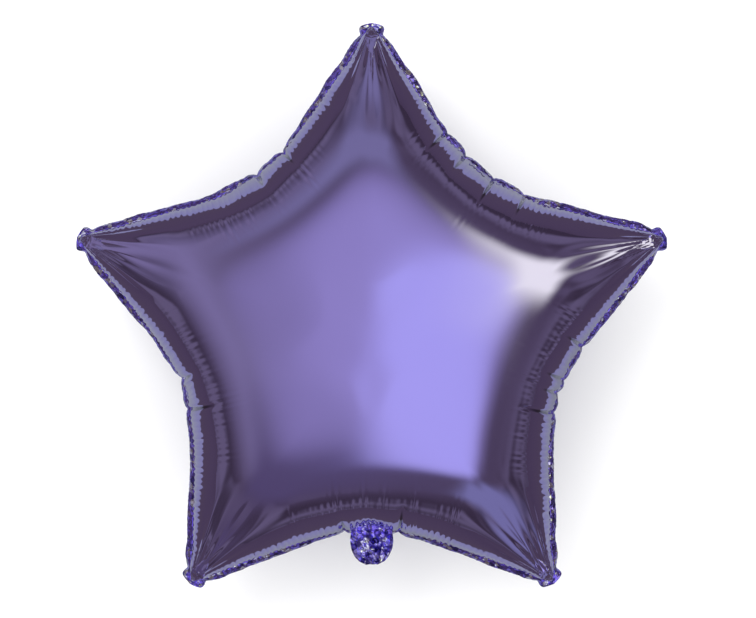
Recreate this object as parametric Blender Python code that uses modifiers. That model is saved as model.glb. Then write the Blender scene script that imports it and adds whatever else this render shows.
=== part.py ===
"""Star-shaped foil balloon, blown up and lying on its back.

Two sheets of metallised film are welded together around a five-pointed outline, and the film
outside the weld is left as a narrow crinkled border. The blown-up film cannot stretch, so it
gathers into short pleats along the weld and folds into deeper creases at the notches. The
filling tail is a tongue of the same two sheets, at the notch between the two lower arms.

Metres, +Z up. The front faces up and the upper arm points along +Y. The origin is on the axis
of the star, in the middle of the flat spot that the balloon lies on.
"""

import math
import random

import bmesh
import bpy
from mathutils import Matrix, Vector

# Outline of the weld, seen from the front
ARMS = 5
TIP_REACH = 0.2185  # from the axis to the weld at the end of an arm
NOTCH_REACH = 0.1410  # from the axis to the weld between two arms
NOTCH_CURVE = 0.156  # radius of the weld through a notch
TIP_CURVE = 0.0095  # radius of the weld around the end of an arm

# Blown-up form
DEPTH = 0.172  # front to back through the middle, before it is laid down
SHOULDER = 3.0  # power of the section from the weld to the middle: higher is squarer
REST_DENT = 0.0010  # how far the back is pressed flat where it lies

# Pleats along the weld, each a ridge and a hollow
PLEATS = 15  # from the end of an arm to the next notch
PLEAT_HEIGHT = 0.0013  # of a ridge over the plain form, and of a hollow under it
PLEAT_START = 0.012  # along the film, from the weld to where a pleat is at its highest
PLEAT_LENGTH = 0.060  # and to where it has run out
WELD_WAVE = 0.0007  # how far the pleats push the weld to the front and the back

# Creases that fold the film inwards at each notch, anticlockwise from the upper left one.
# Each is placed by its distance along the weld from the middle of the notch, anticlockwise.
CREASES = (
    (-0.026, 0.000),
    (-0.012, 0.012),
    (-0.021, 0.021),
    (-0.015, 0.000, 0.011, 0.040),
    (-0.032, -0.006, 0.021, 0.043),
)
CREASE_DEPTH = 0.0034
CREASE_WIDTH = 0.0080  # from a crease to where its side meets the plain form
CREASE_LENGTH = 0.080  # along the film, from the weld to where a crease has run out

# Border outside the weld
BORDER_WIDTH = 0.0070
BORDER_THICKNESS = 0.0008  # two sheets with the air left between their crinkles
BORDER_CRINKLE = 0.0008  # height of the crinkles at the free edge
TIP_BEND = math.radians(12)  # how far the border leans back round the end of an arm
NOTCH_BEND = math.radians(64)  # and round a notch

# Filling tail
TAIL_NOTCH = 2  # counted like the creases
TAIL_WIDTH = 0.030
TAIL_LENGTH = 0.0235  # from the weld to its round end
TAIL_ROOT = 0.008  # held inside the body
TAIL_THICKNESS = 0.0014
TAIL_RISE = math.radians(14)  # how far it leans to the front
TAIL_CRUMPLE = 0.0012
TAIL_ROUNDNESS = 4.5  # power of its outline: lower is rounder

# Fineness of the mesh
RINGS = 8  # from the weld to the crest of an arm
CLOSENESS = 2.6  # how strongly the rings crowd towards the weld
TAIL_ROWS = 8
TAIL_COLUMNS = 8

FOIL_COLOUR = (0.27, 0.22, 0.50, 1.0)

HALF_ARM = math.pi / ARMS
COLUMNS = 2 * PLEATS  # from the end of an arm to the next notch
AROUND = 2 * COLUMNS * ARMS
UP = Vector((0.0, 0.0, 1.0))

chance = random.Random(18)
PLEAT_SHARES = [chance.uniform(0.55, 1.0) for _ in range(AROUND)]
BORDER_SHARES = [chance.uniform(0.3, 1.0) for _ in range(AROUND)]


def flat(angle, length=1.0):
    """A vector in the plane of the weld."""
    return Vector((math.cos(angle), math.sin(angle), 0.0)) * length


def flank_normal():
    """Angle from the axis of an arm to the outward normal of its straight side."""
    notch_centre = flat(HALF_ARM, NOTCH_REACH + NOTCH_CURVE)
    across = flat(0.0, TIP_REACH - TIP_CURVE) - notch_centre
    swing = math.acos((NOTCH_CURVE + TIP_CURVE) / across.length)
    return math.atan2(across.y, across.x) - swing + math.pi


FLANK_NORMAL = flank_normal()


def half_side(steps):
    """The weld from the end of an arm on +X to the next notch, at even steps.

    Each entry is the point on the weld, the direction outwards, how far the film runs inwards
    from it to the crest of the arm, and the distance along the weld to the notch.
    """
    notch_centre = flat(HALF_ARM, NOTCH_REACH + NOTCH_CURVE)
    tip_centre = flat(0.0, TIP_REACH - TIP_CURVE)
    flank_start = tip_centre + flat(FLANK_NORMAL, TIP_CURVE)
    flank_end = notch_centre - flat(FLANK_NORMAL, NOTCH_CURVE)
    tip_arc = TIP_CURVE * FLANK_NORMAL
    flank = (flank_end - flank_start).length
    notch_arc = NOTCH_CURVE * (FLANK_NORMAL - HALF_ARM)
    whole = tip_arc + flank + notch_arc
    entries = []
    for step in range(steps + 1):
        along = whole * step / steps
        if along < tip_arc:
            outwards = flat(along / TIP_CURVE)
            weld = tip_centre + outwards * TIP_CURVE
            run = TIP_CURVE
        elif along < tip_arc + flank:
            outwards = flat(FLANK_NORMAL)
            weld = flank_start.lerp(flank_end, (along - tip_arc) / flank)
            run = weld.y / outwards.y
        else:
            outwards = flat(HALF_ARM + (whole - along) / NOTCH_CURVE)
            weld = notch_centre - outwards * NOTCH_CURVE
            run = weld.y / outwards.y
        entries.append((weld, outwards, run, whole - along))
    return entries


def side_distance(point, side):
    """Distance from a point inside the star to the weld through one notch."""
    centre = flat(notch_angle(side), NOTCH_REACH + NOTCH_CURVE)
    away = point - centre
    past_arc = max(0.0, away.angle(-centre) - (FLANK_NORMAL - HALF_ARM))
    return away.length * math.cos(past_arc) - NOTCH_CURVE


def notch_angle(side):
    """Angle of a notch, counted anticlockwise from the upper left one."""
    return math.pi / 2 + HALF_ARM * (2 * side + 1)


def swell(distance):
    """Square of the share of the full height at a distance from one side of the weld."""
    share = min(max(distance / NOTCH_REACH, 0.0), 1.0)
    return 1.0 - (1.0 - share) ** SHOULDER


def height(point, own_side, own_distance):
    """Height of the plain form over the plane of the weld."""
    product = swell(own_distance)
    for side in range(ARMS):
        if side != own_side:
            product *= swell(side_distance(point, side))
    return DEPTH / 2 * math.sqrt(product)


class Column:
    """One line across the film, from the weld to the crest of its arm."""

    def __init__(self, index, entries):
        self.side, step = divmod(index % AROUND, 2 * COLUMNS)
        mirrored = step > COLUMNS
        weld, outwards, self.run, along = entries[2 * COLUMNS - step if mirrored else step]
        turn = Matrix.Rotation(math.pi / 2 + 2 * HALF_ARM * (self.side + mirrored), 3, "Z")
        flip = Matrix.Diagonal((1.0, -1.0 if mirrored else 1.0, 1.0))
        self.weld = turn @ flip @ weld
        self.outwards = turn @ flip @ outwards
        self.along = along if mirrored else -along
        self.from_tip = 1.0 - along / entries[0][3]
        sign = 1 if index % 2 == 0 else -1
        self.pleat = sign * PLEAT_SHARES[index % AROUND]
        self.crinkle = sign * BORDER_SHARES[index % AROUND]
        creases = CREASES[self.side % len(CREASES)]
        self.crease = max(1.0 - abs(self.along - place) / CREASE_WIDTH for place in creases)
        self.crease = CREASE_DEPTH * max(0.0, self.crease)
        self.in_tail = self.side == TAIL_NOTCH and abs(self.along) < 0.45 * TAIL_WIDTH
        self.plain = self.plain_section()

    def plain_section(self):
        """Inward distance and height of the plain form at each ring, from the weld."""
        section = []
        for ring in range(RINGS + 1):
            inwards = self.run * (ring / RINGS) ** CLOSENESS
            point = self.weld - self.outwards * inwards
            section.append(Vector((inwards, height(point, self.side, inwards))))
        return section

    def film(self, ring, face):
        """A point of the front film (face 1) or of the back film (face -1)."""
        along = sum(
            (self.plain[step + 1] - self.plain[step]).length for step in range(ring)
        )
        slope = self.plain[min(ring + 1, RINGS)] - self.plain[max(ring - 1, 0)]
        if ring == 0:
            slope = Vector((0.0, 1.0))
        slope.normalize()
        inwards, up = self.plain[ring]
        offset = -self.crease * max(0.0, 1.0 - along / CREASE_LENGTH)
        if 0 < ring < RINGS:
            rise = min(1.0, along / PLEAT_START)
            fall = max(0.0, 1.0 - along / PLEAT_LENGTH)
            offset += face * self.pleat * PLEAT_HEIGHT * rise * fall
        inwards -= offset * slope.y
        up += offset * slope.x
        wave = self.pleat * WELD_WAVE * max(0.0, 1.0 - along / PLEAT_START)
        return self.weld - self.outwards * inwards + UP * (face * up + wave)

    def border(self, reach, face):
        """A point of the border: reach 0 at the weld, 1 at the free edge."""
        bend = TIP_BEND + (NOTCH_BEND - TIP_BEND) * min(1.0, 1.6 * self.from_tip)
        width = BORDER_WIDTH
        if self.in_tail:
            bend = -TAIL_RISE
            width = TAIL_ROOT / 4
        direction = self.outwards * math.cos(bend) - UP * math.sin(bend)
        across = UP * math.cos(bend) + self.outwards * math.sin(bend)
        crinkle = 0.0 if self.in_tail else self.crinkle * BORDER_CRINKLE * reach
        middle = self.film(0, 1) + direction * (width * reach) + across * crinkle
        return middle + across * (face * BORDER_THICKNESS / 2)


def section_point(column, row):
    """A point of the closed section, from the crest of the back film to that of the front."""
    if row < RINGS:
        return column.film(RINGS - row, -1)
    if row < RINGS + 4:
        reach = (0, 1, 1, 0)[row - RINGS]
        face = (-1, -1, 1, 1)[row - RINGS]
        return column.border(reach, face)
    return column.film(row - RINGS - 3, 1)


def new_object(name, mesh, collection):
    thing = bpy.data.objects.new(name, mesh)
    collection.objects.link(thing)
    return thing


def envelope(collection):
    """The blown-up body with its border: one sheet wrapped round the star and closed."""
    mesh = bpy.data.meshes.new("foil_balloon")
    bm = bmesh.new()
    rows = 2 * RINGS + 3
    bmesh.ops.create_grid(bm, x_segments=AROUND, y_segments=rows, size=0.5)
    entries = half_side(COLUMNS)
    columns = [Column(index, entries) for index in range(AROUND + 1)]
    for vertex in bm.verts:
        column = columns[round((vertex.co.x + 0.5) * AROUND)]
        vertex.co = section_point(column, round((vertex.co.y + 0.5) * rows))
    bmesh.ops.remove_doubles(bm, verts=bm.verts, dist=0.00001)
    bmesh.ops.recalc_face_normals(bm, faces=bm.faces)
    bmesh.ops.triangulate(bm, faces=bm.faces)
    bm.to_mesh(mesh)
    bm.free()
    return new_object("foil_balloon", mesh, collection)


def tail(collection):
    """The filling tail: a crumpled tongue with a round end."""
    mesh = bpy.data.meshes.new("tail")
    bm = bmesh.new()
    bmesh.ops.create_grid(bm, x_segments=TAIL_COLUMNS, y_segments=TAIL_ROWS, size=0.5)
    angle = notch_angle(TAIL_NOTCH)
    outwards = flat(angle)
    sideways = flat(angle + math.pi / 2)
    start = outwards * (NOTCH_REACH - TAIL_ROOT)
    whole = TAIL_ROOT + TAIL_LENGTH
    for vertex in bm.verts:
        reach = vertex.co.y + 0.5
        narrowing = (1.0 - (0.985 * reach) ** TAIL_ROUNDNESS) ** (1.0 / TAIL_ROUNDNESS)
        side = vertex.co.x * TAIL_WIDTH * narrowing
        out = max(0.0, whole * reach - TAIL_ROOT)
        crumple = TAIL_CRUMPLE * min(1.0, 4.0 * out / TAIL_LENGTH) * chance.uniform(-1.0, 1.0)
        rise = math.tan(TAIL_RISE) * out * (0.4 + 0.6 * out / TAIL_LENGTH) + crumple
        vertex.co = start + outwards * (whole * reach) + sideways * side + UP * rise
    bmesh.ops.triangulate(bm, faces=bm.faces)
    bm.to_mesh(mesh)
    bm.free()
    tongue = new_object("tail", mesh, collection)
    thicken = tongue.modifiers.new("thickness", "SOLIDIFY")
    thicken.thickness = TAIL_THICKNESS
    thicken.offset = 0.0
    apply_modifiers(tongue)
    return tongue


def apply_modifiers(thing):
    bpy.context.view_layer.objects.active = thing
    for modifier in list(thing.modifiers):
        bpy.ops.object.modifier_apply(modifier=modifier.name)


def lay_down(thing):
    """Press the back flat where the balloon lies, and stand that spot on the origin."""
    bm = bmesh.new()
    bm.from_mesh(thing.data)
    low = -DEPTH / 2 + REST_DENT
    cut = bmesh.ops.bisect_plane(
        bm,
        geom=bm.verts[:] + bm.edges[:] + bm.faces[:],
        dist=0.000001,
        plane_co=UP * low,
        plane_no=-UP,
        clear_outer=True,
    )
    edges = [item for item in cut["geom_cut"] if isinstance(item, bmesh.types.BMEdge)]
    bmesh.ops.contextual_create(bm, geom=edges)
    bmesh.ops.translate(bm, verts=bm.verts, vec=-UP * low)
    bmesh.ops.recalc_face_normals(bm, faces=bm.faces)
    bm.to_mesh(thing.data)
    bm.free()


def foil():
    material = bpy.data.materials.new("foil")
    material.use_nodes = True
    principled = material.node_tree.nodes["Principled BSDF"]
    principled.inputs["Base Color"].default_value = FOIL_COLOUR
    principled.inputs["Metallic"].default_value = 1.0
    principled.inputs["Roughness"].default_value = 0.18
    return material


for leftover in list(bpy.data.objects):
    bpy.data.objects.remove(leftover)

balloon_parts = bpy.data.collections.new("star_foil_balloon")
cutters = bpy.data.collections.new("cutters")
bpy.context.scene.collection.children.link(balloon_parts)
bpy.context.scene.collection.children.link(cutters)

balloon = envelope(balloon_parts)
tongue = tail(cutters)
join = balloon.modifiers.new("tail", "BOOLEAN")
join.operation = "UNION"
join.solver = "EXACT"
join.object = tongue
apply_modifiers(balloon)
tongue.hide_render = True
lay_down(balloon)
balloon.data.materials.clear()
balloon.data.materials.append(foil())
balloon.data.shade_smooth()
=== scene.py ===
# %% [markdown]
# A star foil balloon, blown up and lying on its back, seen from straight above.
#
# The real one is two sheets of metallised film, cut as a flat star and welded round the edge.
# Gas pushes them apart. The film can't stretch, so the edge draws in and gathers: fine pleats
# stand all along the weld, deeper creases fold in at the notches, and the strip of film that
# is left outside the weld crumples. So this lesson makes it the way it is made: two flat stars,
# joined at the rim, blown up by a cloth simulation, and then finished.

import math
import time

import bpy
import numpy as np
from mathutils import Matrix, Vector, noise


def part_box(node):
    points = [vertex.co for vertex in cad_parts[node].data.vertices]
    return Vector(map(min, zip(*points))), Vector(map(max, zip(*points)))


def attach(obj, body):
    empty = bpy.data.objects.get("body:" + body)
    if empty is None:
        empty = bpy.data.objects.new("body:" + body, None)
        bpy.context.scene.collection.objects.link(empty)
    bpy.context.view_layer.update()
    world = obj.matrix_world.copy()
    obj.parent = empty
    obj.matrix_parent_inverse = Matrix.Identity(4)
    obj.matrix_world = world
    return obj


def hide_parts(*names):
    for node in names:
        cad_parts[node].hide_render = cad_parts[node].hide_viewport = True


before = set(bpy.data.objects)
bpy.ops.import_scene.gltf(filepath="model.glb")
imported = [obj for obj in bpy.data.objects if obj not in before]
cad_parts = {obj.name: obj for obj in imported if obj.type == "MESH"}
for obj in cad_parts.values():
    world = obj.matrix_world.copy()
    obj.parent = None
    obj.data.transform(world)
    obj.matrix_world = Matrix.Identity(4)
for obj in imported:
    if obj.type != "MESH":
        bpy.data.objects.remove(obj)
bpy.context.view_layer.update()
started = time.time()

BODY = "root"
BALLOON = "foil_balloon"
low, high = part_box(BALLOON)
print("balloon", [round(v * 1000, 1) for v in high - low], "mm")

# %% [markdown]
# The measures come from the frame. The weld lies half way up, the upper arm points along +Y
# from the axis of the star, and the border outside the weld is a few millimetres wide. The
# outline of one half arm is an arc round the end of the arm, a straight side, and a wide arc
# through the notch. Everything else is turned or mirrored from it.

# %% Measures of the star
ARMS = 5
HALF_ARM = math.pi / ARMS
TIP_BORDER = 0.0045
BORDER_WIDTH = 0.0070
REST_DENT = 0.0010
SEAM_HEIGHT = (high.z - REST_DENT) / 2
HALF_DEPTH = high.z - SEAM_HEIGHT
TIP_REACH = high.y - TIP_BORDER
NOTCH_REACH = 0.638 * TIP_REACH
NOTCH_CURVE = 0.706 * TIP_REACH
TIP_CURVE = 0.0150 * TIP_REACH

# What the columns of a whole outline hold
SPOT = slice(0, 2)
OUTWARDS = slice(2, 4)
RUN = 4


def arm_outline(tip_reach, notch_reach, notch_curve, tip_curve, steps):
    """One half arm, from the end of the arm on +X to the next notch, at even steps.

    Returns the points, the outward directions, how far the film runs from each point to the
    crest of the arm, and the distance along the outline from the end of the arm.
    """
    notch_centre = (notch_reach + notch_curve) * np.array([math.cos(HALF_ARM), math.sin(HALF_ARM)])
    tip_centre = np.array([tip_reach - tip_curve, 0.0])
    across = tip_centre - notch_centre
    swing = math.acos((notch_curve + tip_curve) / np.hypot(*across))
    side_angle = math.atan2(across[1], across[0]) - swing + math.pi
    side_normal = np.array([math.cos(side_angle), math.sin(side_angle)])
    side_start = tip_centre + tip_curve * side_normal
    side_end = notch_centre - notch_curve * side_normal
    tip_arc = tip_curve * side_angle
    side = np.hypot(*(side_end - side_start))
    whole = tip_arc + side + notch_curve * (side_angle - HALF_ARM)
    points, outwards, runs, along = [], [], [], []
    for step in range(steps + 1):
        here = whole * step / steps
        if here < tip_arc:
            turn = here / tip_curve
            normal = np.array([math.cos(turn), math.sin(turn)])
            point = tip_centre + tip_curve * normal
            run = tip_curve
        elif here < tip_arc + side:
            normal = side_normal
            point = side_start + (side_end - side_start) * (here - tip_arc) / side
            run = point[1] / normal[1]
        else:
            turn = HALF_ARM + (whole - here) / notch_curve
            normal = np.array([math.cos(turn), math.sin(turn)])
            point = notch_centre - notch_curve * normal
            run = point[1] / normal[1]
        points.append(point)
        outwards.append(normal)
        runs.append(run)
        along.append(here)
    return np.array(points), np.array(outwards), np.array(runs), np.array(along)


def whole_outline(points, outwards, runs):
    """All the way round, anticlockwise from the end of the upper arm, last point left off."""
    steps = len(points) - 1
    rows = []
    for arm in range(ARMS):
        for step in range(2 * steps):
            mirrored = step > steps
            source = 2 * steps - step if mirrored else step
            turn = math.pi / 2 + 2 * HALF_ARM * (arm + mirrored)
            flip = -1.0 if mirrored else 1.0
            cos, sin = math.cos(turn), math.sin(turn)
            px, py = points[source] * (1.0, flip)
            nx, ny = outwards[source] * (1.0, flip)
            rows.append((px * cos - py * sin, px * sin + py * cos,
                         nx * cos - ny * sin, nx * sin + ny * cos, runs[source]))
    return np.array(rows)


# %% [markdown]
# The camera hangs straight above, as in a catalogue picture. The frame is 756 pixels wide, and
# one pixel is 0.72 mm at the height of the weld. The axis of the star is a little below and
# left of the middle of the frame.

# %% Camera
FRAME_WIDTH = 756
PIXEL = 0.00072
LENS = 85.0
SENSOR = 36.0
OFF_CENTRE = Vector((6.3, 24.0)) * PIXEL

camera_data = bpy.data.cameras.new("camera")
camera_data.lens = LENS
camera_data.sensor_width = SENSOR
camera = bpy.data.objects.new("camera", camera_data)
bpy.context.scene.collection.objects.link(camera)
distance = FRAME_WIDTH * PIXEL * LENS / SENSOR
camera.location = (OFF_CENTRE.x, OFF_CENTRE.y, SEAM_HEIGHT + distance)
bpy.context.scene.camera = camera
print("camera", round(distance, 3), "m above the weld")

# %% [markdown]
# A node tree is easier to read when one helper makes a node, sets its inputs and names it, and
# another joins two sockets.

# %% Helpers for node trees
def put(tree, kind, values=None, **settings):
    """A new node with its settings, and its inputs set by name or number."""
    node = tree.nodes.new(kind)
    for name, value in settings.items():
        setattr(node, name, value)
    for socket, value in (values or {}).items():
        if isinstance(value, bpy.types.NodeSocket):
            tree.links.new(value, node.inputs[socket])
        else:
            node.inputs[socket].default_value = value
    return node


def math_node(tree, operation, *values):
    return put(tree, "ShaderNodeMath", dict(enumerate(values)), operation=operation).outputs[0]


def soft_step(tree, value, start, end):
    """0 below start, 1 past end, and smooth between them."""
    limits = {"Value": value, "From Min": start, "From Max": end}
    return put(tree, "ShaderNodeMapRange", limits, interpolation_type="SMOOTHSTEP").outputs["Result"]


def blend_colours(tree, factor, below, above):
    node = put(tree, "ShaderNodeMix", {"Factor": factor}, data_type="RGBA")
    for socket, value in (("A", below), ("B", above)):
        target = [item for item in node.inputs if item.name == socket and item.type == "RGBA"][0]
        if isinstance(value, bpy.types.NodeSocket):
            tree.links.new(value, target)
        else:
            target.default_value = value
    return [item for item in node.outputs if item.type == "RGBA"][0]


def new_group(name, inputs, outputs):
    """A shader node group with its sockets: name to kind and start value."""
    tree = bpy.data.node_groups.new(name, "ShaderNodeTree")
    for title, (kind, value) in inputs.items():
        socket = tree.interface.new_socket(name=title, in_out="INPUT", socket_type=kind)
        if value is not None:
            socket.default_value = value
    for title, kind in outputs.items():
        tree.interface.new_socket(name=title, in_out="OUTPUT", socket_type=kind)
    return tree, tree.nodes.new("NodeGroupInput"), tree.nodes.new("NodeGroupOutput")


# %% [markdown]
# Foil has no look of its own: it shows the room. So most of this picture's light is a dome that
# only mirror rays see: soft panels overhead, a dim room round them. One group makes a panel with
# soft edges. It takes the direction that a ray looks in, turned so that the panel's middle is
# straight up, and measures how far the ray passes from that middle.

# %% The soft panel group
def build_panel_group():
    tree, taken, given = new_group(
        "soft_panel",
        {
            "Direction": ("NodeSocketVector", None),
            "Half Width": ("NodeSocketFloat", 0.3),
            "Half Height": ("NodeSocketFloat", 0.3),
            "Softness": ("NodeSocketFloat", 0.1),
        },
        {"Mask": "NodeSocketFloat"},
    )
    parts = put(tree, "ShaderNodeSeparateXYZ", {"Vector": taken.outputs["Direction"]}).outputs
    ahead = math_node(tree, "MAXIMUM", parts["Z"], 0.001)
    masks = []
    for axis, reach in (("X", "Half Width"), ("Y", "Half Height")):
        slant = math_node(tree, "ABSOLUTE", math_node(tree, "DIVIDE", parts[axis], ahead))
        inner = math_node(tree, "SUBTRACT", taken.outputs[reach], taken.outputs["Softness"])
        outer = math_node(tree, "ADD", taken.outputs[reach], taken.outputs["Softness"])
        masks.append(math_node(tree, "SUBTRACT", 1.0, soft_step(tree, slant, inner, outer)))
    in_front = math_node(tree, "GREATER_THAN", parts["Z"], 0.0)
    both = math_node(tree, "MULTIPLY", masks[0], masks[1])
    tree.links.new(math_node(tree, "MULTIPLY", both, in_front), given.inputs["Mask"])
    return tree


soft_panel = build_panel_group()

# %% [markdown]
# The room is cluttered: patches of dark and lighter things, low down, which the pleats break up
# into streaks. Over it lie the panels, like lights in a studio: a wide ceiling, a
# strip light over the right half, a window far to the right that gives the pale gleam, and dim
# walls. Each is placed by how far it leans from straight up, to the right and to the back, and
# how far it is turned, in degrees. The sizes are tangents of half the angle that it spans.
# Later panels lie over earlier ones.

# %% The dome
ROOM_DARK = (0.085, 0.065, 0.065, 1.0)
ROOM_LIGHT = (0.26, 0.23, 0.22, 1.0)
CLUTTER_SCALE = 4.5
CLUTTER_EDGES = (0.40, 0.60)
PALE_STRENGTH = 1.3
DOME_PANELS = (
    # name, right, back, turn, half width, half height, softness, colour
    ("upper_room", 0, 0, 0, 2.50, 2.50, 1.50, (0.15, 0.12, 0.12)),
    ("left_wall", -50, 10, 30, 0.35, 1.00, 0.40, (0.42, 0.39, 0.40)),
    ("back_wall", -10, 55, 0, 0.50, 0.25, 0.15, (0.38, 0.38, 0.40)),
    ("front_wall", 60, -50, 20, 0.50, 0.20, 0.10, (0.38, 0.40, 0.45)),
    ("ceiling", 5, 0, 0, 0.55, 0.65, 0.30, (0.62, 0.58, 0.68)),
    ("dark_corner", -25, -40, -30, 0.40, 0.35, 0.20, (0.18, 0.15, 0.18)),
    ("strip_light", 15, -10, 0, 0.25, 0.55, 0.12, (0.90, 0.92, 1.10)),
    ("window", 45, 15, -20, 0.30, 0.30, 0.12, (1.90, 2.10, 1.10)),
)


def turned(tree, direction, axis, degrees):
    """The direction, turned about one axis."""
    values = {"Vector": direction, "Angle": math.radians(degrees)}
    return put(tree, "ShaderNodeVectorRotate", values, rotation_type=axis).outputs[0]


def build_dome():
    world = bpy.data.worlds.new("studio")
    bpy.context.scene.world = world
    world.use_nodes = True
    tree = world.node_tree
    tree.nodes.clear()
    direction = put(tree, "ShaderNodeTexCoord").outputs["Generated"]
    clutter = put(tree, "ShaderNodeTexNoise", {"Vector": direction, "Scale": CLUTTER_SCALE, "Detail": 1.0})
    patches = soft_step(tree, clutter.outputs["Fac"], *CLUTTER_EDGES)
    colour = blend_colours(tree, patches, ROOM_DARK, ROOM_LIGHT)
    for name, right, back, turn, half_width, half_height, softness, light in DOME_PANELS:
        look = turned(tree, direction, "Y_AXIS", -right)
        look = turned(tree, look, "X_AXIS", back)
        look = turned(tree, look, "Z_AXIS", -turn)
        panel = put(tree, "ShaderNodeGroup", node_tree=soft_panel, label=name)
        tree.links.new(look, panel.inputs["Direction"])
        panel.inputs["Half Width"].default_value = half_width
        panel.inputs["Half Height"].default_value = half_height
        panel.inputs["Softness"].default_value = softness
        colour = blend_colours(tree, panel.outputs["Mask"], colour, (*light, 1.0))
    mirror = put(tree, "ShaderNodeBackground")
    tree.links.new(colour, mirror.inputs["Color"])
    pale = put(tree, "ShaderNodeBackground", {"Color": (1.0, 1.0, 1.0, 1.0), "Strength": PALE_STRENGTH})
    rays = put(tree, "ShaderNodeLightPath")
    mix = put(tree, "ShaderNodeMixShader")
    tree.links.new(rays.outputs["Is Glossy Ray"], mix.inputs[0])
    tree.links.new(pale.outputs[0], mix.inputs[1])
    tree.links.new(mirror.outputs[0], mix.inputs[2])
    tree.links.new(mix.outputs[0], put(tree, "ShaderNodeOutputWorld").inputs["Surface"])
    print("dome of", len(DOME_PANELS), "panels")


build_dome()

# %% [markdown]
# The floor is plain and pale, and runs out of sight. Its reflection is the light band inside
# the weld. That band is narrow, as over a sheet of paper that ends a hand's breadth past the
# balloon in a dark room. Mirror rays see just that: for them alone, the floor's colour changes
# at that distance from the star. One soft key light from the back left casts the shadow.

# %% Floor and light
FLOOR_SIZE = 12.0
FLOOR_GAP = 0.0002
FLOOR_COLOUR = (0.93, 0.93, 0.93, 1.0)
PAPER_MIRRORED = (0.285, 0.295, 0.35, 1.0)
BEYOND_MIRRORED = (0.10, 0.077, 0.08, 1.0)
PAPER_REACH = 0.310
PAPER_FADE = 0.012
KEY_PLACE = (-0.9, 1.1, 2.4)
KEY_SIZE = 1.1
KEY_WATTS = 18.0


def build_floor():
    bpy.ops.object.select_all(action="DESELECT")
    bpy.ops.mesh.primitive_plane_add(size=FLOOR_SIZE, location=(0.0, 0.0, -FLOOR_GAP))
    floor = bpy.context.object
    floor.name = "floor"
    material = bpy.data.materials.new("pale_floor")
    material.use_nodes = True
    tree = material.node_tree
    shader = tree.nodes["Principled BSDF"]
    shader.inputs["Roughness"].default_value = 0.9
    shader.inputs["Specular IOR Level"].default_value = 0.0
    place = put(tree, "ShaderNodeTexCoord").outputs["Object"]
    away = put(tree, "ShaderNodeVectorMath", {0: place}, operation="LENGTH").outputs["Value"]
    past = soft_step(tree, away, PAPER_REACH - PAPER_FADE, PAPER_REACH + PAPER_FADE)
    mirrored = put(tree, "ShaderNodeLightPath").outputs["Is Glossy Ray"]
    beyond = math_node(tree, "MULTIPLY", past, mirrored)
    colour = blend_colours(tree, mirrored, FLOOR_COLOUR, PAPER_MIRRORED)
    colour = blend_colours(tree, beyond, colour, BEYOND_MIRRORED)
    tree.links.new(colour, shader.inputs["Base Color"])
    floor.data.materials.append(material)


def build_key_light():
    light = bpy.data.lights.new("key", "AREA")
    light.size = KEY_SIZE
    light.energy = KEY_WATTS
    holder = bpy.data.objects.new("key", light)
    bpy.context.scene.collection.objects.link(holder)
    holder.location = KEY_PLACE
    holder.rotation_euler = (-Vector(KEY_PLACE)).to_track_quat("-Z", "Y").to_euler()
    holder.visible_glossy = False
    print("key light", round(Vector(KEY_PLACE).length, 2), "m away")


build_floor()
build_key_light()
bpy.context.scene.view_settings.view_transform = "Standard"

# %% [markdown]
# The flat pattern first. The film draws in as it is blown up, so the star is cut wider than the
# finished one, most of all at the notches. A grid is the start: its columns become straight
# lines that run in from the weld, square to it, to the crest of the arm, and its rows run round
# the star. Its lower half is the back sheet and its upper half the front one, so the middle row
# is the weld. The grid's UV map is turned into the flat pattern too, in metres: along the weld,
# and in from the weld, negative on the back. Later steps read where they are on the film there.

# %% The flat pattern
PLEATS_HALF_ARM = 34
RINGS = 14
RING_CROWDING = 1.6
FLAT_TIP = 1.089 * TIP_REACH
FLAT_NOTCH = 1.365 * NOTCH_REACH
FLAT_NOTCH_CURVE = 1.60 * NOTCH_CURVE
FLAT_TIP_CURVE = 1.2 * TIP_CURVE
START_GAP = 0.004
MERGE_DISTANCE = 0.00001

*half_arm, along_half_arm = arm_outline(
    FLAT_TIP, FLAT_NOTCH, FLAT_NOTCH_CURVE, FLAT_TIP_CURVE, PLEATS_HALF_ARM)
pattern = whole_outline(*half_arm)
AROUND = len(pattern)
PLEAT = 2 * ARMS * along_half_arm[-1] / AROUND
PERIMETER = PLEAT * AROUND
print("flat star", round(2000 * FLAT_TIP), "mm, pleats", AROUND, "of", round(PLEAT * 1000, 2), "mm")


def uv_of(mesh):
    values = np.empty(2 * len(mesh.loops))
    mesh.uv_layers.active.data.foreach_get("uv", values)
    return values.reshape(-1, 2)


def set_uv(mesh, values):
    mesh.uv_layers.active.data.foreach_set("uv", values.ravel())


def corners_of(mesh):
    """The vertex of each face corner."""
    values = np.empty(len(mesh.loops), dtype=np.int32)
    mesh.loops.foreach_get("vertex_index", values)
    return values


def points_of(mesh):
    values = np.empty(3 * len(mesh.vertices))
    mesh.vertices.foreach_get("co", values)
    return values.reshape(-1, 3)


def set_points(mesh, values):
    mesh.vertices.foreach_set("co", np.asarray(values, dtype=float).ravel())
    mesh.update()


def only(thing):
    """Select one object and make it active."""
    bpy.ops.object.select_all(action="DESELECT")
    thing.select_set(True)
    bpy.context.view_layer.objects.active = thing


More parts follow.
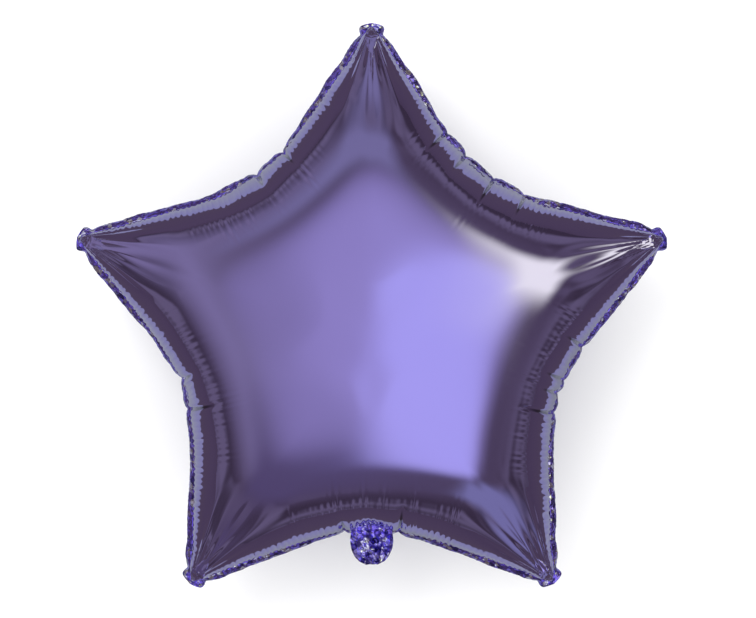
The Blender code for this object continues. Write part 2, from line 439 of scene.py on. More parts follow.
def flat_envelope():
    bpy.ops.object.select_all(action="DESELECT")
    bpy.ops.mesh.primitive_grid_add(x_subdivisions=AROUND, y_subdivisions=2 * RINGS, size=1.0)
    envelope = bpy.context.object
    envelope.name = "envelope"
    mesh = envelope.data
    grid = points_of(mesh)
    column = np.rint((grid[:, 0] + 0.5) * AROUND).astype(int)
    row = np.rint((grid[:, 1] + 0.5) * 2 * RINGS).astype(int) - RINGS
    share = (np.abs(row) / RINGS) ** RING_CROWDING
    line = pattern[column % AROUND]
    inwards = share * line[:, RUN]
    grid[:, 0:2] = line[:, SPOT] - line[:, OUTWARDS] * inwards[:, None]
    grid[:, 2] = START_GAP * np.sign(row)
    set_points(mesh, grid)
    corner = corners_of(mesh)
    uv = np.column_stack((column[corner] * PLEAT, (np.sign(row) * inwards)[corner]))
    set_uv(mesh, uv)
    bpy.ops.object.mode_set(mode="EDIT")
    bpy.ops.mesh.select_all(action="SELECT")
    bpy.ops.mesh.remove_doubles(threshold=MERGE_DISTANCE)
    bpy.ops.mesh.normals_make_consistent(inside=False)
    bpy.ops.object.mode_set(mode="OBJECT")
    print("envelope", len(mesh.vertices), "points")
    return envelope


envelope = flat_envelope()

# %% [markdown]
# Blowing it up. Blender's cloth has a pressure setting that pushes a closed mesh outwards. Film
# is stiff in its own plane and soft to bend, there is no gravity, and air resistance calms the
# bouncing. After some fifty frames the star has settled, and the modifier is applied.

# %% Blow up
BLOW_FRAMES = 55


def blow_up(thing):
    only(thing)
    bpy.ops.object.modifier_add(type="CLOTH")
    cloth = thing.modifiers[-1]
    film = cloth.settings
    film.quality = 6
    film.mass = 0.1
    film.air_damping = 4.0
    film.tension_stiffness = 80.0
    film.compression_stiffness = 10.0
    film.shear_stiffness = 20.0
    film.bending_stiffness = 0.05
    film.tension_damping = 5.0
    film.compression_damping = 5.0
    film.shear_damping = 5.0
    film.bending_damping = 0.5
    film.use_pressure = True
    film.uniform_pressure_force = 10.0
    film.effector_weights.gravity = 0.0
    cloth.collision_settings.use_collision = False
    cloth.point_cache.frame_start = 1
    cloth.point_cache.frame_end = BLOW_FRAMES
    scene = bpy.context.scene
    scene.frame_start = 1
    scene.frame_end = BLOW_FRAMES
    for step in range(1, BLOW_FRAMES + 1):
        scene.frame_set(step)
    bpy.ops.object.modifier_apply(modifier=cloth.name)
    scene.frame_set(1)


blow_up(envelope)
blown = points_of(envelope.data)
print("blown up to", np.round(np.ptp(blown, axis=0) * 1000, 1), "mm in", round(time.time() - started, 1), "s")

# %% [markdown]
# The blown-up star is now laid on the outline of the frame. The simulated film buckles in a
# random way beside the weld, while the film in the photo is calm there. So the form is written
# down column by column, as how far each point lies outwards, along and up from the outline.
# Averaged over neighbouring columns this leaves the blown form without its buckles, and only a
# part of them is kept. The shift that brings the weld to the outline dies out to the crest.

# %% Fit to the outline
STEPS_ARM = 2 * PLEATS_HALF_ARM
CALM = 0.78
CALM_SPREAD = 7
ROUND_INNER = (0.010, 0.080)
ROUND_MIDDLE = (0.100, 0.205)
SMOOTH_INNER = (0.014, 0.050)
SMOOTH_ROUNDS = 10
outline = whole_outline(*arm_outline(TIP_REACH, NOTCH_REACH, NOTCH_CURVE, TIP_CURVE, PLEATS_HALF_ARM)[:3])


def ramp(value, start, end):
    """0 before start, 1 past end, and straight between them."""
    return np.clip((value - start) / (end - start), 0.0, 1.0)


def place_on_film(mesh):
    """For each point: the distance along the weld, and the distance in from it."""
    corner = corners_of(mesh)
    uv = uv_of(mesh)
    place = np.zeros((len(mesh.vertices), 2))
    place[corner] = uv
    place[:, 0] %= PERIMETER
    return place[:, 0], place[:, 1]


def film_table(mesh):
    """The point of each column and row of the pattern."""
    uv = uv_of(mesh)
    column = np.rint(uv[:, 0] / PLEAT).astype(int) % AROUND
    share = np.abs(uv[:, 1]) / pattern[column, RUN]
    row = np.rint(share ** (1 / RING_CROWDING) * RINGS).astype(int) * np.sign(uv[:, 1]).astype(int)
    table = np.zeros((AROUND, 2 * RINGS + 1), dtype=int)
    table[column, row + RINGS] = corners_of(mesh)
    return table


def round_average(rows, spread):
    """Each row averaged with its neighbours on a closed ring."""
    weights = np.exp(-0.5 * (np.arange(-3 * spread, 3 * spread + 1) / spread) ** 2)
    weights /= weights.sum()
    return sum(weight * np.roll(rows, shift, axis=0)
               for weight, shift in zip(weights, range(-3 * spread, 3 * spread + 1)))


def fit_to_outline(thing):
    mesh = thing.data
    table = film_table(mesh)
    points = points_of(mesh)
    weld = points[table[:, RINGS]]
    points -= weld.mean(axis=0)
    reach = np.hypot(weld[::STEPS_ARM, 0], weld[::STEPS_ARM, 1]).mean()
    points[:, 0:2] *= TIP_REACH / reach
    place = points[table]
    off = place[:, :, 0:2] - outline[:, None, SPOT]
    normal = outline[:, None, OUTWARDS]
    tangent = np.stack((-normal[..., 1], normal[..., 0]), axis=-1)
    local = np.stack(((off * normal).sum(axis=-1), (off * tangent).sum(axis=-1), place[:, :, 2]), axis=-1)
    calm = round_average(local, CALM_SPREAD)
    local = CALM * calm + (1.0 - CALM) * local
    share = (np.abs(np.arange(-RINGS, RINGS + 1)) / RINGS) ** RING_CROWDING
    local -= calm[:, RINGS:RINGS + 1] * ((1.0 - share) ** 2)[None, :, None]
    place = outline[:, None, SPOT] + local[..., 0:1] * normal + local[..., 1:2] * tangent
    place = np.concatenate((place, local[..., 2:3]), axis=-1)
    fitted = np.zeros_like(points)
    shared = np.zeros(len(points))
    np.add.at(fitted, table.ravel(), place.reshape(-1, 3))
    np.add.at(shared, table.ravel(), 1.0)
    set_points(mesh, fitted / shared[:, None])
    print("weld was off by up to", round(1000 * np.abs(calm[:, RINGS]).max(), 1), "mm")


def dome_terms(points):
    """Smooth terms with the star's symmetry, for a height over the floor plan."""
    x, y = points[:, 0] / TIP_REACH, points[:, 1] / TIP_REACH
    radius = np.hypot(x, y)
    turn = np.arctan2(y, x) - math.pi / 2
    terms = [radius ** power for power in (0, 2, 4, 6, 8)]
    terms += [radius ** power * np.cos(ARMS * turn) for power in (5, 7, 9)]
    return np.stack(terms, axis=1)


def smooth_heights(thing):
    """Even out the heights away from the weld."""
    away = np.abs(place_on_film(thing.data)[1])
    group = thing.vertex_groups.new(name="inner")
    for index, value in enumerate(ramp(away, *SMOOTH_INNER)):
        group.add([index], float(value), "REPLACE")
    only(thing)
    bpy.ops.object.modifier_add(type="SMOOTH")
    smooth = thing.modifiers[-1]
    smooth.factor = 0.5
    smooth.iterations = SMOOTH_ROUNDS
    smooth.vertex_group = group.name
    smooth.use_x = False
    smooth.use_y = False
    bpy.ops.object.modifier_apply(modifier=smooth.name)


def round_middle(thing):
    """Lay the middle of each sheet on one smooth dome, and leave the arms' ends sharp."""
    mesh = thing.data
    inwards = place_on_film(mesh)[1]
    points = points_of(mesh)
    radius = np.hypot(points[:, 0], points[:, 1])
    away = np.abs(inwards)
    weight = ramp(away, *ROUND_INNER) * (1.0 - ramp(radius, *ROUND_MIDDLE))
    weight = weight * weight * (3.0 - 2.0 * weight)
    inner = (radius < ROUND_MIDDLE[1]) & (away > ROUND_INNER[0])
    terms = dome_terms(points)
    share = np.linalg.lstsq(terms[inner], np.abs(points[inner, 2]), rcond=None)[0]
    dome = terms @ share * np.sign(inwards)
    print("middle moved by up to", round(1000 * np.abs(weight * (dome - points[:, 2])).max(), 1), "mm")
    points[:, 2] += weight * (dome - points[:, 2])
    points[:, 2] *= HALF_DEPTH / points[:, 2].max()
    points[:, 2] = np.maximum(points[:, 2] + SEAM_HEIGHT, 0.0)
    set_points(mesh, points)


fit_to_outline(envelope)
smooth_heights(envelope)
round_middle(envelope)

# %% [markdown]
# Two rounds of Subdivision Surface give four columns to a pleat. The modifier carries the flat
# pattern along, as long as its UV smoothing is off.

# %% Refine
def refine(thing, levels):
    only(thing)
    bpy.ops.object.modifier_add(type="SUBSURF")
    rounder = thing.modifiers[-1]
    rounder.levels = levels
    rounder.render_levels = levels
    rounder.uv_smooth = "NONE"
    bpy.ops.object.modifier_apply(modifier=rounder.name)
    print(thing.name, "refined to", len(thing.data.polygons), "faces")


refine(envelope, 2)

# %% [markdown]
# Now the folds. The weld is about a twenty-eighth shorter than it was on the flat star, so the
# film stands in pleats of about 4 mm. Each ends where the film has turned about 60 degrees up
# from the floor, some sooner and some later, and a faint trace of it runs on, further at the
# notches, where the film is tightest. They drift a little to the left and right, and some are
# higher than others. At the weld the pleats push the two sheets up and down together.
#
# The creases at the notches are single deep folds, placed as the photo shows them, and the weld
# is pulled in at each. They are listed notch by notch, anticlockwise from the upper left, as
# distances along the weld from the middle of the notch. How sharply the film is folded there is
# kept as an attribute, and the foil paints a dark line of shade along each fold from it. Round
# the end of each arm, folds fan out from the tip.

# %% Fold sizes
PLEAT_HEIGHT = 0.00092
PLEAT_START = 0.45
PLEAT_RISE = 0.0040
PLEAT_FALL = 0.0042
PLEAT_DRIFT = 0.28
PLEAT_STRENGTHS = (0.35, 1.45)
PLEAT_REACH = (0.98, 1.34)
TRACE = 0.48
TRACE_REACH = (1.2, 1.7)
NOTCH_TRACE_REACH = (1.6, 2.6)
NOTCH_SPAN = 0.22
STEEP_SHARE = 0.35
STEEP_LOSS = 0.11
TIP_CALM = 0.035
TIP_PLEATS = 0.15
WELD_WAVE = 0.0002
CREASES = (
    (-0.026, 0.000),
    (-0.012, 0.012),
    (-0.021, 0.021),
    (-0.015, 0.000, 0.011, 0.040),
    (-0.032, -0.006, 0.021, 0.043),
)
CREASE_DEPTH = 0.0010
CREASE_WIDTH = 0.0085
CREASE_SLIT = 0.0028
CREASE_SLIT_WIDTH = 0.0017
CREASE_SLIT_START = 0.25
CREASE_SLIT_RISE = 0.005
CREASE_REACH = 0.090
CREASE_SLIT_REACH = 0.078
CREASE_STRENGTHS = (0.80, 1.15)
CREASE_SLIT_LENGTHS = (0.70, 1.15)
TIP_FOLDS = 2.2
TIP_FOLD_HEIGHT = 0.0009
TIP_FOLD_START = 0.008
TIP_FOLD_REACH = 0.088
TIP_FOLD_SPREAD = 33.0
TIP_FOLD_EDGE = 8.0
TIP_FOLD_WANDER = 0.9
TIP_FOLD_PATCH = 9.0
SOFT_WAVE = 0.00022
SOFT_WAVE_LENGTH = 0.045
SMALLEST = 1e-6

dice = np.random.default_rng(7)
pleat_strength = dice.uniform(*PLEAT_STRENGTHS, AROUND)
pleat_drift = dice.uniform(-PLEAT_DRIFT, PLEAT_DRIFT, AROUND)
near_notch = np.abs((np.arange(AROUND) % STEPS_ARM) / STEPS_ARM - 0.5) < NOTCH_SPAN
runs = pattern[:, RUN]
steep = runs * (STEEP_SHARE - STEEP_LOSS * runs / runs.max())
pleat_reach = steep * dice.uniform(*PLEAT_REACH, AROUND)
notch_traces = dice.uniform(*NOTCH_TRACE_REACH, AROUND)
arm_traces = dice.uniform(*TRACE_REACH, AROUND)
trace_reach = steep * np.where(near_notch, notch_traces, arm_traces)


def round_value(along, values):
    """A value per pleat, read between the pleats at any distance along the weld."""
    spot = (along / PLEAT) % AROUND
    first = np.floor(spot).astype(int) % AROUND
    share = spot - np.floor(spot)
    return values[first] * (1.0 - share) + values[(first + 1) % AROUND] * share


def zigzag(count):
    """1 at whole numbers, -1 half way between them, straight in between."""
    return 4.0 * np.abs(count - np.floor(count) - 0.5) - 1.0


def pleats(along, inwards):
    """How far the pleats lift the film from its plain form."""
    away = np.abs(inwards)
    rise = np.clip(away / PLEAT_RISE, 0.0, 1.0)
    rise *= PLEAT_START + (1.0 - PLEAT_START) * np.clip(away / round_value(along, steep), 0.0, 1.0)
    fall = np.clip((round_value(along, pleat_reach) - away) / PLEAT_FALL, 0.0, 1.0)
    trace = TRACE * np.clip(1.0 - away / round_value(along, trace_reach), 0.0, 1.0)
    height = PLEAT_HEIGHT * rise * ((1.0 - TRACE) * fall + trace)
    height *= np.clip(round_value(along, runs) / TIP_CALM, TIP_PLEATS, 1.0)
    wave = zigzag(along / PLEAT + round_value(along, pleat_drift))
    return height * wave * round_value(along, pleat_strength) * np.sign(inwards)


def weld_wave(along, inwards):
    """How far the pleats push the film up at the weld."""
    fall = np.clip(1.0 - np.abs(inwards) / PLEAT_RISE, 0.0, 1.0)
    return WELD_WAVE * zigzag(along / PLEAT) * round_value(along, pleat_strength) * fall


def from_crease(along, notch, place):
    """How far each point is from a crease, along the weld."""
    middle = PERIMETER / ARMS / 2 * (2 * notch + 1) + place
    return np.abs((along - middle + PERIMETER / 2) % PERIMETER - PERIMETER / 2)


def creases(along, inwards):
    """How far the creases fold the film in, and how sharply it is folded there, from 0 to 1; the second
    places a line of painted shade on the foil.
    """
    away = np.abs(inwards)
    depth = np.zeros_like(along)
    line = np.zeros_like(along)
    for notch, places in enumerate(CREASES):
        for place in places:
            apart = from_crease(along, notch, place)
            fold = CREASE_DEPTH * np.clip(1.0 - apart / CREASE_WIDTH, 0.0, 1.0) ** 2.0
            fold *= np.clip(1.0 - away / CREASE_REACH, 0.0, 1.0) ** 1.5
            slit = CREASE_SLIT * np.clip(1.0 - apart / CREASE_SLIT_WIDTH, 0.0, 1.0)
            slit *= np.clip(CREASE_SLIT_START + away / CREASE_SLIT_RISE, 0.0, 1.0)
            slit_reach = CREASE_SLIT_REACH * dice.uniform(*CREASE_SLIT_LENGTHS)
            slit *= np.clip(2.0 - 2.0 * away / slit_reach, 0.0, 1.0)
            depth = np.maximum(depth, dice.uniform(*CREASE_STRENGTHS) * (fold + slit))
            line = np.maximum(line, slit / CREASE_SLIT)
    return depth, line


def tip_folds(points):
    """How far the folds that fan out from the arms' ends lift the film."""
    lift = np.zeros(len(points))
    for arm in range(ARMS):
        turn = math.pi / 2 + 2 * HALF_ARM * arm
        axis = np.array([math.cos(turn), math.sin(turn)])
        back = TIP_REACH * axis - points[:, 0:2]
        ahead = back @ axis
        aside = back @ np.array([-axis[1], axis[0]])
        away = np.hypot(ahead, aside)
        angle = np.degrees(np.arctan2(aside, np.maximum(ahead, SMALLEST)))
        strength = np.clip(away / TIP_FOLD_START, 0.0, 1.0)
        strength *= np.clip(1.0 - away / TIP_FOLD_REACH, 0.0, 1.0) ** 1.4
        inside = np.clip((TIP_FOLD_SPREAD - np.abs(angle)) / TIP_FOLD_EDGE, 0.0, 1.0)
        spots = [Vector((value / TIP_FOLD_PATCH, 2.0 * arm, 0.0)) for value in angle]
        wander = np.array([noise.noise(spot) for spot in spots])
        count = TIP_FOLDS * angle / TIP_FOLD_SPREAD + TIP_FOLD_WANDER * wander
        lift += TIP_FOLD_HEIGHT * strength * inside * zigzag(count)
    return lift


def normals_of(mesh):
    values = np.empty(3 * len(mesh.vertices))
    mesh.vertex_normals.foreach_get("vector", values)
    return values.reshape(-1, 3)


def fold_film(thing):
    mesh = thing.data
    points = points_of(mesh)
    normals = normals_of(mesh)
    along, inwards = place_on_film(mesh)
    wave = np.array([noise.noise(Vector(point) / SOFT_WAVE_LENGTH) for point in points])
    depth, line = creases(along, inwards)
    lift = pleats(along, inwards) - depth + tip_folds(points) + SOFT_WAVE * wave
    points += normals * lift[:, None]
    # The fold attribute places a dark line of painted shade along each crease on the foil.
    mesh.attributes.new("fold", "FLOAT", "POINT").data.foreach_set("value", line)
    points[:, 2] += weld_wave(along, inwards)
    points[:, 2] = np.maximum(points[:, 2], 0.0)
    set_points(mesh, points)
    lifted, folded = 1000 * lift.max(), 1000 * depth.max()
    print("film lifted up to", round(lifted, 1), "mm, folded in up to", round(folded, 1), "mm")


fold_film(envelope)

# %% [markdown]
# The envelope is parted at the weld into its two sheets, as they were cut, and each sheet gets
# its half of the border. The border is the strip outside the weld: new rows of film are
# extruded from the weld's edge, one after the other, and laid on a curve that leans back, most
# just beside the ends of the arms and at the notches. It crumples more the further out it is,
# and draws in at the creases and at the very ends of the arms.

# %% Part the sheets
ON_WELD = 1e-7


def part_sheets(thing):
    mesh = thing.data
    only(thing)
    inwards = uv_of(mesh)[:, 1]
    starts = np.empty(len(mesh.polygons), dtype=np.int32)
    mesh.polygons.foreach_get("loop_start", starts)
    back = np.minimum.reduceat(inwards, starts) < -ON_WELD
    bpy.context.tool_settings.mesh_select_mode = (False, False, True)
    bpy.ops.object.mode_set(mode="EDIT")
    bpy.ops.mesh.select_all(action="DESELECT")
    bpy.ops.object.mode_set(mode="OBJECT")
    mesh.polygons.foreach_set("select", back)
    bpy.ops.object.mode_set(mode="EDIT")
    bpy.ops.mesh.separate(type="SELECTED")
    bpy.ops.object.mode_set(mode="OBJECT")
    other = [item for item in bpy.context.selected_objects if item != thing][0]
    thing.name = "front_sheet"
    other.name = "back_sheet"
    for sheet in (thing, other):
        uv = uv_of(sheet.data)
        uv[:, 1] = np.abs(uv[:, 1])
        set_uv(sheet.data, uv)
        print(sheet.name, len(sheet.data.polygons), "faces")
    return thing, other


front_sheet, back_sheet = part_sheets(envelope)

# %% The border
BORDER_ROWS = 6
# How far it leans back, in degrees, from the end of an arm (place 0) to the notch (place 1)
BEND_PLACES = (0.0, 0.032, 0.070, 0.14, 0.35, 0.70, 1.0)
BENDS = (-15.0, 0.0, 66.0, 44.0, 42.0, 50.0, 60.0)
BEND_CHANGE = 16.0
BEND_PATCH = 0.030
CURL = 20.0
CURL_CHANGE = 18.0
CURL_FINER = 2.3
CURL_MIDDLE = 0.4
WIDTH_SHARE = 0.92
WIDTH_CHANGE = 0.12
WIDTH_FINER = 3.0
TIP_PINCH = 0.56
TIP_PINCH_LENGTH = 0.0045
BORDER_CRUMPLE = 0.00050
CRUMPLE_LENGTH = 0.0034
CRUMPLE_ROWS = 1.6
CRUMPLE_RISE = 1.4
CRUMPLE_SIDEWAYS = 0.4
CREASE_PINCH = 0.25
CREASE_PINCH_LENGTH = 0.004
SHEET_GAP = 0.0003

# Crushed film: how strong its ridges are, how strong the finer noise over them, how much finer
BORDER_RIDGES = (2.4, 0.5, 2.1)
TAIL_RIDGES = (2.6, 0.45, 2.3)


def crushed_height(spot, ridges, fine, finer):
    """Sharp ridges with a finer noise over them, from noise that is folded at zero."""
    return 1.0 - ridges * abs(noise.noise(spot)) + fine * noise.noise(spot * finer)


def weld_line(sheet):
    """The points of the weld in order, with their distances along it."""
    along, inwards = place_on_film(sheet.data)
    on_weld = np.abs(inwards) < ON_WELD
    order = np.argsort(along[on_weld])
    return along[on_weld][order], points_of(sheet.data)[on_weld][order]


def read_along(along, marks, rows):
    """Rows that are known at some marks along the weld, read at any distance along it."""
    return np.column_stack([np.interp(along, marks, column, period=PERIMETER) for column in rows.T])


def border_points(along, row, face, line):
    """The points of one border row: row 0 is the weld, the last row the free edge."""
    base = read_along(along, *line)
    outwards = read_along(along, np.arange(AROUND) * PLEAT, outline[:, OUTWARDS])
    from_tip = 1.0 - 2.0 * np.abs((along / PERIMETER * ARMS) % 1.0 - 0.5)
    bend = np.interp(from_tip, BEND_PLACES, BENDS)
    pinch = 1.0 - TIP_PINCH * np.exp(-(from_tip * PERIMETER / ARMS / 2 / TIP_PINCH_LENGTH) ** 2)
    for notch, places in enumerate(CREASES):
        for place in places:
            apart = from_crease(along, notch, place)
            pinch *= 1.0 - CREASE_PINCH * np.exp(-(apart / CREASE_PINCH_LENGTH) ** 2)
    result = np.empty((len(along), 3))
    for index in range(len(along)):
        spot = Vector((along[index] / BEND_PATCH, 3.0, 0.0))
        lean = math.radians(bend[index] + BEND_CHANGE * noise.noise(spot))
        curl = math.radians(CURL + CURL_CHANGE * noise.noise(spot * CURL_FINER))
        width = BORDER_WIDTH * pinch[index] * (WIDTH_SHARE + WIDTH_CHANGE * noise.noise(spot * WIDTH_FINER))
        out, down = 0.0, 0.0
        for step in range(row):
            angle = lean + curl * (step / BORDER_ROWS - CURL_MIDDLE)
            out += width / BORDER_ROWS * math.cos(angle)
            down += width / BORDER_ROWS * math.sin(angle)
        share = row / BORDER_ROWS
        fold = Vector((along[index] / CRUMPLE_LENGTH, share * CRUMPLE_ROWS, 9.0))
        crumple = crushed_height(fold, *BORDER_RIDGES)
        across = BORDER_CRUMPLE * crumple * min(1.0, CRUMPLE_RISE * share)
        across += face * SHEET_GAP * share * (1.0 - share) * 2.0
        angle = lean + curl * (share - CURL_MIDDLE)
        side = outwards[index] * (out + CRUMPLE_SIDEWAYS * across * math.sin(angle))
        up = -down + across * math.cos(angle)
        result[index] = base[index] + (side[0], side[1], up)
    return result


def add_border(sheet, face):
    """Extrude the weld's edge row by row, and lay the rows."""
    mesh = sheet.data
    line = weld_line(sheet)
    only(sheet)
    bpy.context.tool_settings.mesh_select_mode = (False, True, False)
    bpy.ops.object.mode_set(mode="EDIT")
    bpy.ops.mesh.select_all(action="DESELECT")
    bpy.ops.mesh.select_non_manifold(extend=False, use_wire=False, use_multi_face=False,
                                     use_non_contiguous=False, use_verts=False)
    for row in range(1, BORDER_ROWS + 1):
        bpy.ops.mesh.extrude_region_move(MESH_OT_extrude_region={"mirror": False})
        bpy.ops.object.mode_set(mode="OBJECT")
        new = np.zeros(len(mesh.vertices), dtype=bool)
        mesh.vertices.foreach_get("select", new)
        corner = corners_of(mesh)
        uv = uv_of(mesh)
        uv[new[corner], 1] = -row * BORDER_WIDTH / BORDER_ROWS
        set_uv(mesh, uv)
        along = place_on_film(mesh)[0]
        points = points_of(mesh)
        points[new] = border_points(along[new], row, face, line)
        set_points(mesh, points)
        bpy.ops.object.mode_set(mode="EDIT")
    bpy.ops.mesh.select_all(action="SELECT")
    bpy.ops.mesh.normals_make_consistent(inside=False)
    bpy.ops.object.mode_set(mode="OBJECT")
    print(sheet.name, "with border", len(mesh.polygons), "faces, weld points", len(line[0]))


add_border(front_sheet, 1.0)
add_border(back_sheet, -1.0)

# %% [markdown]
# The filling tail is the neck that the balloon was blown up through: a tongue of both sheets at
# the lower notch, with a self-closing valve flat inside. It was pinched and rolled, so it is
# the most crumpled place of all. It starts as a grid, is bent to its tongue shape, a little
# narrower at the weld and round at its end, crumpled with noise, and given its thickness by
# Solidify.

# %% The filling tail
TAIL_WIDTH = 0.032
TAIL_LENGTH = 0.0245
TAIL_ROOT = 0.006
TAIL_COLUMNS = 16
TAIL_ROWS = 15
TAIL_THICKNESS = 0.0009
TAIL_RISE = 14.0
TAIL_NECK = 0.82
TAIL_NECK_REACH = 0.45
TAIL_END_REACH = 0.985
TAIL_END_POWERS = (3.6, 2.2)
TAIL_CRUMPLE = 0.0028
TAIL_CRUMPLE_MIDDLE = 0.4
TAIL_FOLD = 0.0075
TAIL_FOLD_STRETCH = 1.5
TAIL_HELD = 0.006
TAIL_FILM_START = 0.0010


def build_tail():
    bpy.ops.object.select_all(action="DESELECT")
    bpy.ops.mesh.primitive_grid_add(x_subdivisions=TAIL_COLUMNS, y_subdivisions=TAIL_ROWS, size=1.0)
    tail = bpy.context.object
    tail.name = "filling_tail"
    mesh = tail.data
    points = points_of(mesh)
    whole = TAIL_ROOT + TAIL_LENGTH
    for index, (across, reach, _) in enumerate(points):
        reach += 0.5
        neck = TAIL_NECK + (1.0 - TAIL_NECK) * min(1.0, reach / TAIL_NECK_REACH)
        end = (1.0 - (TAIL_END_REACH * reach) ** TAIL_END_POWERS[0]) ** (1 / TAIL_END_POWERS[1])
        side = across * TAIL_WIDTH * neck * end
        out = whole * reach - TAIL_ROOT
        spot = Vector((side / TAIL_FOLD, out / (TAIL_FOLD_STRETCH * TAIL_FOLD), 4.0))
        crumple = crushed_height(spot, *TAIL_RIDGES)
        free = min(1.0, max(0.0, out / TAIL_HELD))
        rise = math.tan(math.radians(TAIL_RISE)) * max(out, 0.0)
        rise += TAIL_CRUMPLE * (crumple - TAIL_CRUMPLE_MIDDLE) * free
        points[index] = (side, -(NOTCH_REACH + out), SEAM_HEIGHT + rise)
    set_points(mesh, points)
    uv = uv_of(mesh)
    corner = corners_of(mesh)
    uv[:, 0] = points[corner, 0]
    uv[:, 1] = -TAIL_FILM_START - whole * uv[:, 1]
    set_uv(mesh, uv)
    only(tail)
    bpy.ops.object.mode_set(mode="EDIT")
    bpy.ops.mesh.select_all(action="SELECT")
    bpy.ops.mesh.normals_make_consistent(inside=False)
    bpy.ops.object.mode_set(mode="OBJECT")
    bpy.ops.object.modifier_add(type="SOLIDIFY")
    wall = tail.modifiers[-1]
    wall.thickness = TAIL_THICKNESS
    wall.offset = 0.0
    bpy.ops.object.modifier_apply(modifier=wall.name)
    print(tail.name, len(tail.data.polygons), "faces")
    return tail


filling_tail = build_tail()

# %% [markdown]
# The foil is a mirror with a violet lacquer on it: a metal whose colour is the lacquer, under a
# thin clear coat that mirrors white light as it is. A slight roughness blurs what it mirrors,
# more so in the middle of the star. Along each crease the colour darkens to a line of painted
# shade. Outside the weld the film has been creased again and again and is rough with small
# facets, and its colour there is painted light: the violet is deepened as painted shade for the
# light that bounces between its folds, each facet gets one tint, from painted shade through
# violet to a painted silver glint, and on the tail they are brighter, as painted light.

# %% The foil
FOIL = (0.40, 0.34, 0.80, 1.0)
FOIL_CLOUD = (0.37, 0.31, 0.77, 1.0)
# Painted shade: the dark line along the creases
CREASE_PAINTED_SHADE = (0.03, 0.02, 0.12, 1.0)
# Painted light on the crumpled border and tail: the violet deepened as shade on the border and brightened on
# the tail, and facets tinted as shade or as a silver glint
BORDER_FOIL_SHADED = (0.25, 0.17, 0.92, 1.0)
TAIL_FOIL_LIT = (0.42, 0.37, 0.96, 1.0)
FACET_PAINTED_SHADE = (0.06, 0.04, 0.34, 1.0)
FACET_PAINTED_GLINT = (0.74, 0.73, 0.92, 1.0)
CLOUD_SCALE = 14.0
COAT_ROUGHNESS = 0.06
FILM_ROUGHNESS = 0.035
MIDDLE_ROUGHNESS = 0.12
FACETS_PER_METRE = 300.0
FACET_DEPTH = 0.0009

# Distances in from the weld, in metres, between which the film changes
BORDER_EDGE = (-0.0008, 0.0006)
TAIL_EDGE = (-0.016, -0.008)
MIDDLE_EDGE = (0.055, 0.110)

# Shares from 0 to 1 between which a mask changes
CREASE_SHADE_EDGE = (0.05, 0.40)
# Which facets take painted shade and which a painted silver glint
SHADED_FACET_EDGE = (0.10, 0.30)
GLINT_FACET_EDGE = (0.78, 0.88)


def build_crinkle_group():
    """Small facets, as in film that was crushed and smoothed out again."""
    tree, taken, given = new_group(
        "crinkle",
        {"Place": ("NodeSocketVector", None), "Facets per Metre": ("NodeSocketFloat", FACETS_PER_METRE)},
        {"Height": "NodeSocketFloat", "Facet": "NodeSocketFloat"},
    )
    facets = put(tree, "ShaderNodeTexVoronoi", feature="F1", distance="EUCLIDEAN")
    tree.links.new(taken.outputs["Place"], facets.inputs["Vector"])
    tree.links.new(taken.outputs["Facets per Metre"], facets.inputs["Scale"])
    folds = put(tree, "ShaderNodeTexNoise", {"Detail": 2.0, "Roughness": 0.6})
    tree.links.new(taken.outputs["Place"], folds.inputs["Vector"])
    tree.links.new(math_node(tree, "MULTIPLY", taken.outputs["Facets per Metre"], 0.6), folds.inputs["Scale"])
    height = math_node(tree, "ADD", facets.outputs["Distance"], folds.outputs["Fac"])
    tree.links.new(height, given.inputs["Height"])
    parts = put(tree, "ShaderNodeSeparateXYZ", {"Vector": facets.outputs["Color"]}).outputs
    tree.links.new(parts["X"], given.inputs["Facet"])
    return tree


crinkle = build_crinkle_group()


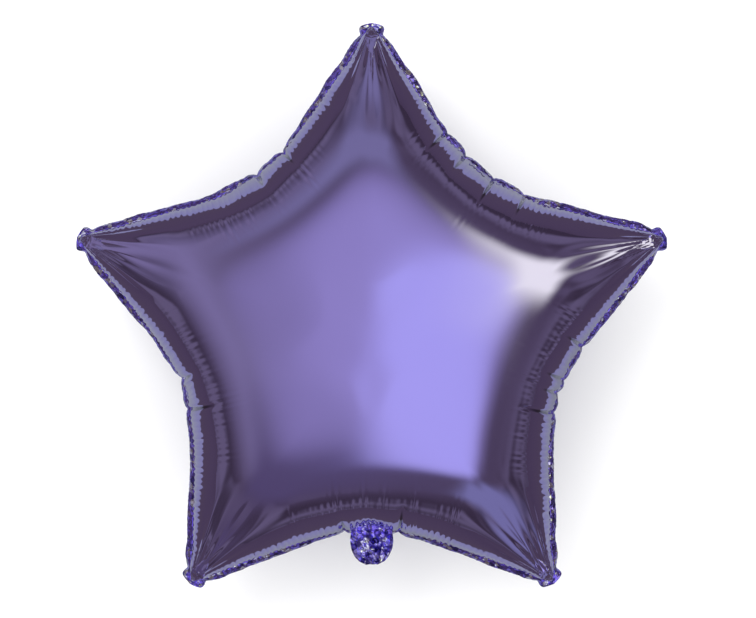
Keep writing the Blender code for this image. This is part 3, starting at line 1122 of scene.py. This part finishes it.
def build_foil():
    material = bpy.data.materials.new("violet_foil")
    material.use_nodes = True
    tree = material.node_tree
    shader = tree.nodes["Principled BSDF"]
    shader.inputs["Metallic"].default_value = 1.0
    shader.inputs["Coat Weight"].default_value = 1.0
    shader.inputs["Coat Roughness"].default_value = COAT_ROUGHNESS
    film = put(tree, "ShaderNodeUVMap").outputs["UV"]
    inwards = put(tree, "ShaderNodeSeparateXYZ", {"Vector": film}).outputs["Y"]
    border = math_node(tree, "SUBTRACT", 1.0, soft_step(tree, inwards, *BORDER_EDGE))
    cloud = put(tree, "ShaderNodeTexNoise", {"Scale": CLOUD_SCALE, "Detail": 2.0})
    tree.links.new(put(tree, "ShaderNodeTexCoord").outputs["Object"], cloud.inputs["Vector"])
    plain = blend_colours(tree, cloud.outputs["Fac"], FOIL, FOIL_CLOUD)
    # A dark line of painted shade along the sharp folds of the creases
    fold = put(tree, "ShaderNodeAttribute", attribute_name="fold").outputs["Fac"]
    plain = blend_colours(tree, soft_step(tree, fold, *CREASE_SHADE_EDGE), plain, CREASE_PAINTED_SHADE)
    crushed = put(tree, "ShaderNodeGroup", node_tree=crinkle)
    tree.links.new(film, crushed.inputs["Place"])
    crushed.inputs["Facets per Metre"].default_value = FACETS_PER_METRE
    facet = crushed.outputs["Facet"]
    # Border and tail: the foil's violet deepened as painted shade, brighter on the tail as painted light,
    # with facets of painted shade and painted silver glints
    on_tail = math_node(tree, "SUBTRACT", 1.0, soft_step(tree, inwards, *TAIL_EDGE))
    tint = blend_colours(tree, on_tail, BORDER_FOIL_SHADED, TAIL_FOIL_LIT)
    tint = blend_colours(tree, soft_step(tree, facet, *SHADED_FACET_EDGE), FACET_PAINTED_SHADE, tint)
    tint = blend_colours(tree, soft_step(tree, facet, *GLINT_FACET_EDGE), tint, FACET_PAINTED_GLINT)
    tree.links.new(blend_colours(tree, border, plain, tint), shader.inputs["Base Color"])
    middle = soft_step(tree, inwards, *MIDDLE_EDGE)
    rough = math_node(tree, "MULTIPLY_ADD", middle, MIDDLE_ROUGHNESS, FILM_ROUGHNESS)
    tree.links.new(rough, shader.inputs["Roughness"])
    height = math_node(tree, "MULTIPLY", crushed.outputs["Height"], border)
    bump = put(tree, "ShaderNodeBump", {"Strength": 1.0, "Distance": FACET_DEPTH})
    tree.links.new(height, bump.inputs["Height"])
    tree.links.new(bump.outputs["Normal"], shader.inputs["Normal"])
    return material


foil = build_foil()

# %% [markdown]
# Last, each piece is shaded, gets the foil, rides on the body, and stands for the solid of the
# frame. The film is shaded smooth, and the border and the tail flat, as crumpled foil is all
# small facets.

# %% Hand over
FLAT_SHADED_FROM = -0.0004

for piece in (front_sheet, back_sheet, filling_tail):
    piece.data.materials.clear()
    piece.data.materials.append(foil)
    only(piece)
    bpy.ops.object.shade_smooth()
    crumpled = uv_of(piece.data)[:, 1] < FLAT_SHADED_FROM
    starts = np.empty(len(piece.data.polygons), dtype=np.int32)
    piece.data.polygons.foreach_get("loop_start", starts)
    piece.data.polygons.foreach_set("use_smooth", ~np.logical_or.reduceat(crumpled, starts))
    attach(piece, BODY)
    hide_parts(BALLOON)
    print(piece.name, len(piece.data.polygons), "faces")

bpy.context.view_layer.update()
print("script", round(time.time() - started, 1), "s")
